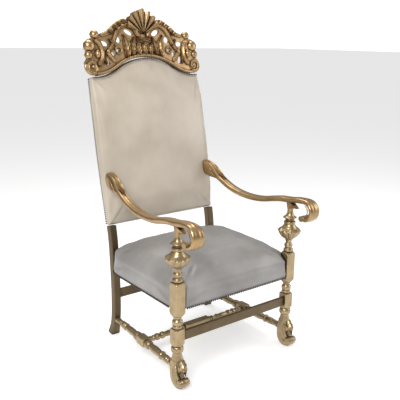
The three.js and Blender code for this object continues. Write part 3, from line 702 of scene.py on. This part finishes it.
def arm_section(t, angle):
    """Three rolls on top, hollow edges and a narrow flat belly."""
    s, c = math.sin(angle), math.cos(angle)
    broad, cap = ease(t, 0.55, 0.78), 1 - ease(t, 0.05, 0.13)
    half = 21 + 6 * broad + 1 * cap
    thick = 12 - broad + 21 * cap
    rolls = 0.84 + 0.16 * abs(math.cos(1.5 * math.pi * s))
    if c > 0:
        return half * s, 1.1 * thick * c**0.42 * rolls
    return half * s * (1 - 0.28 * abs(c) ** 0.5), 0.98 * thick * -(abs(c) ** 0.4)


def arm_nose():
    """The rolled end of the scroll, turned like a small barrel."""
    tip = arm_line(1)
    line = smooth_path([tip + Vector((x, 0, 0)) for x in (-27, -9, 9, 27)])

    def section(t, angle):
        r = 12 * (1 - 0.10 * abs(math.sin(3 * math.pi * t)))
        return r * math.sin(angle), r * math.cos(angle)

    return sweep(line, (0, -1, 0), 36, 28, section)


def bracket():
    """The curved web between the leg's neck and the arm."""
    web = smooth_path([(LEG_X, 0, 612.6), (LEG_X, 0, 622), (LEG_X, -2, 634), (LEG_X, -8, 646)])

    def section(t, angle):
        s, c = math.sin(angle), math.cos(angle)
        back_reach, front_reach = 12.4 + 22 * t**1.6, 12.4 + 30 * t**1.8
        return 12.4 * s, (back_reach if c < 0 else front_reach) * c

    return sweep(web, (1, 0, 0), 20, 32, section)


PANEL_FRONT = 0.0125


def behind_panel(v):
    """Keeps a corner of the arm clear of the back panel's front."""
    depth = (v - on_back(0, 0, 0)).dot(BACKWARDS)
    return v - BACKWARDS * max(0.0, depth + PANEL_FRONT)


print("arm line of", len(ARM_LINE), "points")

# %% Make the two arms
arm_parts = [sweep(arm_line, (-1, 0, 0), 190, 44, arm_section), arm_nose(), bracket()]
arm_parts.append(leaf([(261, 512, 724), (263, 480, 712), (266, 440, 692), (268, 400, 668)], 15, 9, across=(-1, 0, 0),
                      lobes=4))
for side_sign in (-1, 1):
    arm_parts.append(leaf([(261 + side_sign * 16, 514, 712), (264 + side_sign * 21, 492, 702),
                           (265 + side_sign * 22, 470, 688), (266 + side_sign * 20, 446, 678)], 11, 6,
                          across=(0, 0, side_sign), lobes=3))
    arm_parts.append(curl(292 + side_sign * 26, -88, 628, 31, 17, 0.45, math.pi * 0.6, 2.4))
arm = gather(arm_parts)
for v in arm.verts:
    v.co = behind_panel(v.co)
finish_piece(mirrored(arm), "left_arm", GOLD, "gilding", "arm_left", angle=35)
finish_piece(arm, "right_arm", GOLD, "gilding", "arm_right", angle=35)

# %% [markdown]
# ## The crest
# The crest is carved in relief on a pierced board: a fluted shell in the middle, scrolls and leaves beside it and a
# ball and volute at each end. The board is filled between its outline and its holes and given thickness. Each
# carved member is then a ridged bar swept along its own line, as the carver would cut them one after another.

# %% Helpers for the crest
CREST_FOOT = 640


def on_crest(x, y, z):
    return on_back(x, y, CREST_FOOT + z)


def camel(u):
    """Height of the camel-backed top above its low ends."""
    half, rise, crown = 256, 78, 270
    total = (half**2 + rise**2) / (2 * rise)
    hollow, turning, x = total - crown, crown * half / total, abs(u)
    if x <= turning:
        return rise - crown + math.sqrt(crown**2 - x**2)
    return 0 if x >= half else hollow - math.sqrt(hollow**2 - (half - x) ** 2)


def ridge(points, start, end, height, flutes=2):
    """A fluted band through points [x, z], standing forward of the ground."""

    def section(t, angle):
        s, c = math.sin(angle), math.cos(angle)
        near_start, near_end = math.sqrt(max(t, 0.004) / 0.05), math.sqrt(max(1 - t, 0.004) / 0.05)
        w = (start + (end - start) * t) * min(1, near_start, near_end)
        h = height * (1 - 0.2 * t) * (0.82 + 0.18 * math.cos(2 * math.pi * flutes * (s + 1) / 2))
        return (h * abs(c) ** 0.55 if c > 0 else -0.4 * height * abs(c) ** 0.55), w * s

    line = smooth_path([(x, -4, z) for x, z in points])
    return sweep(line, (0, -1, 0), 9 * len(points), 32, section, on_crest)


def crest_leaf(points, width, height, lobes=3):
    """A ribbed, lobed leaf through points [x, z], flat against the ground."""
    line = [(x, -6, z) for x, z in points]

    def section(t, angle):
        s, c = math.sin(angle), math.cos(angle)
        taper = (0.5 + 0.5 * math.sin(math.pi * t)) * (1 - 0.6 * ease(t, 0.7, 1))
        w = width * taper * (1 - 0.22 * abs(math.cos(math.pi * lobes * t)) ** 3)
        h = height * (1 - 0.35 * t) * (0.66 + 0.34 * math.cos(2 * math.pi * s))
        return (h * abs(c) ** 0.55 if c > 0 else -0.3 * height * abs(c) ** 0.55), w * s

    return sweep(smooth_path(line), (0, -1, 0), 28, 28, section, on_crest)


def ground_board():
    """The board that everything is carved on, with its piercings."""
    edge = [(70, 240), (96, 244), (104, 234), (122, 232), (128, 220), (144, 216), (152, 204), (182, 190), (207, 181),
            (226, 164), (246, 164), (270, 156), (289, 141), (292, 122), (283, 106), (291, 90), (283, 76), (299, 56)]
    rail = [(u, camel(u) + 8) for u in range(-250, 251, 25)]
    holes = [(195, 137, 19, 11, 12), (127, 155, 16, 14, 35), (133, 108, 9, 8, 0), (158, 91, 10, 12, -25),
             (191, 64, 12, 19, -25), (70, 186, 24, 11, 25)]
    loops = [rail + edge[::-1] + [(-x, z) for x, z in edge]]
    for x, z, rx, rz, tilt in holes:
        for way in (-1, 1):
            c, s = math.cos(math.radians(way * tilt)), math.sin(math.radians(way * tilt))
            ring = [(rx * math.cos(k * math.pi / 12), rz * math.sin(k * math.pi / 12)) for k in range(24)]
            loops.append([(way * x + a * c - b * s, z + a * s + b * c) for a, b in ring])
    bm = bmesh.new()
    for loop in loops:
        corners = [bm.verts.new((x, 9, z)) for x, z in loop]
        for k, corner in enumerate(corners):
            bm.edges.new((corner, corners[k - 1]))
    bmesh.ops.triangle_fill(bm, use_beauty=True, use_dissolve=False, edges=bm.edges[:])
    grown = bmesh.ops.extrude_face_region(bm, geom=bm.faces[:])["geom"]
    bmesh.ops.translate(bm, vec=(0, -16, 0), verts=[g for g in grown if isinstance(g, bmesh.types.BMVert)])
    for v in bm.verts:
        v.co = on_crest(*v.co)
    return bm


def shell():
    """The scallop: seven hollow-sided ribs with fine lines, fanning out from a hub."""
    ribs, half = 7, math.radians(7 * 19.5) / 2

    def place(u, v):
        lobe = abs(math.sin(math.pi * ribs * (v + 1) / 2)) ** 0.6
        fine = 0.9 + 0.1 * math.cos(2 * math.pi * ribs * 3 * (v + 1) / 2)
        r = 8 + (111 - 3 * abs(v) * ribs - 11 * (1 - lobe) - 8) * u
        y = -10 - (4 + 12 * lobe * fine) * (0.6 + 0.4 * u) + 6 * (1 - lobe) - 6 * u * u
        return on_crest(r * math.sin(v * half), max(y, -33), 176 + r * math.cos(v * half))

    flat = on_crest(0, 9, 0)
    return carved_sheet(26, 168, place, lambda p: p + BACKWARDS * (flat - p).dot(BACKWARDS))


print("crest helpers ready")

# %% Carve the crest
volute = []
for k in range(10):
    reach, turn = 30 - 2.4 * k, -2.2 + k * 0.75
    volute.append((265 + reach * math.cos(turn), 39 + reach * math.sin(turn)))
ring = [(133 + 15 * math.cos(k * 0.7), 108 + 14 * math.sin(k * 0.7)) for k in range(9)]
main_scroll = [(22, 163), (36, 197), (60, 216), (92, 218), (120, 201), (137, 175), (150, 147), (164, 123), (184, 103)]
edge_tips = ((98, 236), (121, 226), (143, 211), (168, 192))
right_side = [
    ball(265, 0, 39, 35, 12, 35, on_crest, 32), ridge(volute, 8, 6, 17, 1), ball(265, -12, 39, 8, 8, 8, on_crest),
    ridge([(238, 41), (217, 71), (212, 105), (222, 137), (243, 153)], 11, 11, 16),
    ball(235, -9, 93, 12, 13, 19, on_crest), ball(267, -3, 128, 25, 20, 25, on_crest, 28),
    ball(276, -3, 89, 17, 16, 19, on_crest), ball(237, 0, 175, 19.5, 19.5, 19.5, on_crest, 32),
    ridge(main_scroll, 13, 9, 17),
    ridge([(80, 236), (108, 229), (136, 213), (162, 193), (184, 179), (212, 170)], 12, 8, 13, 1),
    *[crest_leaf([(x - 12, z - 14), (x, z - 3), (x + 6, z + 4)], 11, 17, 2) for x, z in edge_tips],
    ridge([(190, 106), (174, 84), (150, 58)], 11, 9, 14), ball(184, -12, 103, 9, 8, 9, on_crest),
    ridge(ring, 5, 4, 13, 1),
    crest_leaf([(150, 128), (162, 145), (176, 156)], 10, 14), crest_leaf([(90, 78), (86, 126), (102, 176)], 18, 15, 4),
    crest_leaf([(62, 84), (60, 122), (46, 168)], 15, 16, 4), crest_leaf([(196, 48), (202, 70), (196, 96)], 10, 14),
]
right_side = gather(right_side)
left_side = mirrored(right_side)
rail_line = smooth_path([(u, -2.5, camel(u) + 7.5) for u in range(-250, 251, 10)])


def rail_section(t, angle):
    """The moulded rail that beds the crest on the cover."""
    s, c = math.sin(angle), math.cos(angle)
    rolls = 1 - 0.25 * abs(math.cos(3 * s))
    return 16.5 * math.copysign(abs(s) ** 0.35, s), 6.6 * math.copysign(abs(c) ** 0.5, c) * rolls


middle = [ground_board(), shell(), sweep(rail_line, (0, 1, 0), 150, 28, rail_section, on_crest)]
middle += [crest_leaf([(k * 28, 84), (k * 31, 114), (k * 38, 146 - 6 * k * k)], 17, 16, 4) for k in (-1, 0, 1)]
crest = gather(middle + [left_side, right_side, ridge([(-34, 157), (0, 151), (34, 157)], 11, 11, 19, 3)])
finish_piece(crest, "carved_crest", GOLD, "gilding", "crest", angle=50)

# %% [markdown]
# ## Seat and back
# Each pad starts as a plain stuffed form that is a little too small. It is remeshed evenly and then blown up by the
# cloth solver with its underside held, so the hide draws tight over the stuffing as a real cover does. How far any
# point may move is capped, which keeps the pad inside its own space.

# %% Make the pads
VOXEL, CLOTH_STEPS = 0.006, 20


def own_copy(node):
    """The merged solid of a node, as a bmesh to work on."""
    bm = bmesh.new()
    bm.from_mesh(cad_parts[node].data)
    bmesh.ops.remove_doubles(bm, verts=bm.verts, dist=1e-5)
    return bm


def stuffed(name, node, material, shrink, cap, held, pockets=()):
    """A pad blown up inside its node's space. held(point) says where the cover is fixed."""
    bm = own_copy(node)
    for x in pockets:
        filled = bmesh.ops.create_cube(bm, size=1)["verts"]
        for v in filled:
            v.co = on_back(x + 32 * v.co.x, 32 * v.co.y, 308 + 612 * v.co.z)
    mesh = bpy.data.meshes.new(name)
    bm.to_mesh(mesh)
    bm.free()
    work = bpy.data.objects.new(name + "_form", mesh)
    scene.collection.objects.link(work)
    remesh = work.modifiers.new("even", "REMESH")
    remesh.mode, remesh.voxel_size = "VOXEL", VOXEL
    smooth = work.modifiers.new("soft", "SMOOTH")
    smooth.factor, smooth.iterations = 0.5, 14
    even = bpy.data.meshes.new_from_object(work.evaluated_get(bpy.context.evaluated_depsgraph_get()))
    work.modifiers.clear()
    work.data = even
    for v, normal in [(v, v.normal.copy()) for v in even.vertices]:
        v.co = v.co - normal * shrink
    start = [v.co.copy() for v in even.vertices]
    group = work.vertex_groups.new(name="held")
    group.add([v.index for v in even.vertices if held(v.co)], 1.0, "REPLACE")
    cloth = work.modifiers.new("cover", "CLOTH")
    cloth.settings.use_pressure, cloth.settings.uniform_pressure_force = True, 4
    cloth.settings.vertex_group_mass = "held"
    cloth.settings.effector_weights.gravity = 0
    for step in range(1, CLOTH_STEPS + 1):
        scene.frame_set(step)
    blown = work.evaluated_get(bpy.context.evaluated_depsgraph_get()).to_mesh()
    moves = [b.co - a for a, b in zip(start, blown.vertices)]
    work.modifiers.clear()
    scene.frame_set(1)
    for v, a, move in zip(even.vertices, start, moves):
        v.co = a + move * min(1.0, cap / max(move.length, 1e-9))
    bpy.data.objects.remove(work)
    even.shade_smooth()
    even.materials.clear()
    even.materials.append(material)
    pad = bpy.data.objects.new(name, even)
    scene.collection.objects.link(pad)
    finer = pad.modifiers.new("finer", "SUBSURF")
    finer.levels = finer.render_levels = 1
    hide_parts(node)
    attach(pad, "root")
    print(name, len(even.polygons), "faces before the last subdivision")
    return pad


stuffed("seat_cover", "seat", SEAT_HIDE, 0.002, 0.005, lambda p: p.z < 0.345)
stuffed("back_cover", "back_panel", BACK_HIDE, 0.0015, 0.004,
        lambda p: (p - on_back(0, 0, 0)).dot(BACKWARDS) > 0.002, pockets=(-UPRIGHT_X, UPRIGHT_X))

# %% [markdown]
# ## Nails
# Rows of close-set domed nails hold the hide to the wood. There are hundreds, so each is a tiny dome of few faces.

# %% Set the nails
def nail_row(points, radius, where=at, spacing=9.5):
    """Domes at even steps along a line of points."""
    domes, left = [], 0.0
    for a, b in zip(points, points[1:]):
        a, b = Vector(a), Vector(b)
        length = (b - a).length
        while left < length:
            domes.append(ball(*(a + (b - a) * left / length), radius, radius, radius, where, 7))
            left += spacing
        left -= length
    return domes


NAIL_Z = 324
turns = [math.radians(9 * k) for k in range(9)]
corner = [(241 + 68 * math.cos(turn), 424 + 68 * math.sin(turn), NAIL_Z) for turn in turns]
seat_side = [(308, 30, NAIL_Z), (308, 424, NAIL_Z), *corner[1:]]
camel_edge = [(u, -21, 633 + camel(u)) for u in range(-274, 275, 6)]
nails = nail_row([(-258, -24, NAIL_Z), (258, -24, NAIL_Z)], 3.6) + nail_row(camel_edge, 3.4, on_back)
for way in (-1, 1):
    nails += nail_row([(way * x, y, z) for x, y, z in seat_side], 3.6)
    nails += nail_row([(way * 284.5, 10, 12), (way * 288, 10, 320), (way * 284, 10, 632)], 3.4, on_back)
finish_piece(gather(nails), "cover_nails", NAIL_METAL, "dark_gilding")

# %% [markdown]
# ## The floor
# A large pale floor stands under the chair and isn't part of it. It glows a little, which keeps a big studio floor
# light where the lamps don't reach.

# %% The floor
floor_bm = bmesh.new()
bmesh.ops.create_grid(floor_bm, x_segments=1, y_segments=1, size=60)
floor_mesh = bpy.data.meshes.new("floor")
floor_bm.to_mesh(floor_mesh)
floor_bm.free()
floor = bpy.data.objects.new("floor", floor_mesh)
scene.collection.objects.link(floor)
pale = bpy.data.materials.new("pale floor")
pale.use_nodes = True
pale.node_tree.nodes["Principled BSDF"].inputs["Base Color"].default_value = (0.75, 0.75, 0.75, 1)
pale.node_tree.nodes["Principled BSDF"].inputs["Roughness"].default_value = 0.6
pale.node_tree.nodes["Principled BSDF"].inputs["Emission Color"].default_value = (1, 1, 1, 1)
pale.node_tree.nodes["Principled BSDF"].inputs["Emission Strength"].default_value = 0.45
floor_mesh.materials.append(pale)
